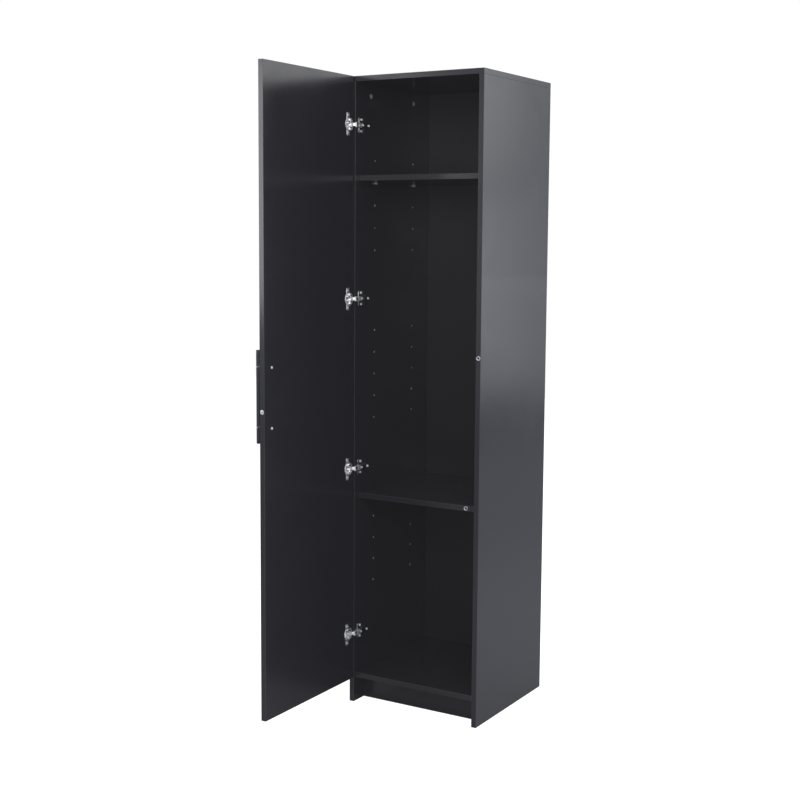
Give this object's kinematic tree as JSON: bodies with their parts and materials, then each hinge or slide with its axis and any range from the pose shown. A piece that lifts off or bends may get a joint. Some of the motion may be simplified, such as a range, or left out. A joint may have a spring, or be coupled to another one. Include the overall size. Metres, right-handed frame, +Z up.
{
  "type": "locker cabinet",
  "caption": "Tall narrow black board locker with one full-height door on concealed cup hinges, loose shelves on pins and a recessed kick plate.",
  "frame": {"origin": "on the floor, midway between the two sides, in the middle of the kick plate's thickness, 62.5 mm behind the front edges", "axes": "+Z up, -Y out of the open front, +X to the right seen from the front"},
  "size_m": [0.458, 0.8365, 1.8],
  "materials": {
    "black_board": "satin black melamine on chipboard, black edge band",
    "hardboard": "black lacquered hardboard",
    "beech": "raw beech",
    "black_metal": "satin black powder coat",
    "zinc": "die-cast zinc",
    "bright_steel": "bright zinc-plated steel",
    "nickel": "nickel-plated pressed steel"
  },
  "bodies": {
    "carcass": {"back_nails": "bright_steel", "back_panel": "hardboard", "bottom_panel": "black_board", "floor_cam_bolts": "bright_steel", "floor_cam_locks": "zinc", "hinge_adjusting_screws": "bright_steel", "hinge_arm_1": "nickel", "hinge_arm_2": "nickel", "hinge_arm_3": "nickel", "hinge_arm_4": "nickel", "hinge_arm_pins": "bright_steel", "hinge_fixing_screws": "bright_steel", "hinge_plate_1": "nickel", "hinge_plate_2": "nickel", "hinge_plate_3": "nickel", "hinge_plate_4": "nickel", "hinge_plate_screws": "bright_steel", "kick_cam_bolts": "bright_steel", "kick_cam_locks": "zinc", "kick_plate": "black_board", "left_side_panel": "black_board", "lower_shelf": "black_board", "panel_edge_disc": "bright_steel", "right_side_panel": "black_board", "shelf_edge_disc": "bright_steel", "shelf_pins": "bright_steel", "top_cam_bolts": "bright_steel", "top_cam_locks": "zinc", "top_panel": "black_board", "upper_shelf": "black_board", "wall_bracket": "black_metal", "wall_bracket_screws": "black_metal", "wood_dowels": "beech"},
    "hinge_links": {"hinge_link_1": "nickel", "hinge_link_2": "nickel", "hinge_link_3": "nickel", "hinge_link_4": "nickel"},
    "door": {"door_edge_disc": "bright_steel", "door_panel": "black_board", "handle_bar": "black_metal", "handle_bolts": "bright_steel", "handle_grub_screws": "bright_steel", "handle_post_lower": "black_metal", "handle_post_upper": "black_metal", "hinge_cup_1": "nickel", "hinge_cup_2": "nickel", "hinge_cup_3": "nickel", "hinge_cup_4": "nickel", "hinge_cup_pins": "bright_steel", "hinge_cup_screws": "bright_steel"}
  },
  "joints": [
    {"name": "link_swing", "type": "hinge", "parent": "carcass", "child": "hinge_links", "pos_m": [-0.188, -0.0695, 0.208], "axis": [0, 0, 1], "range_deg": [-31.8, 5.66]},
    {"name": "door_swing", "type": "hinge", "parent": "hinge_links", "child": "door", "pos_m": [-0.20134, -0.0745, 0.208], "axis": [0, 0, 1], "range_deg": [-20, 121.3]}
  ],
  "couplings": [
    {"joint": "link_swing", "follows": "door_swing", "ratio": -0.25804}
  ]
}
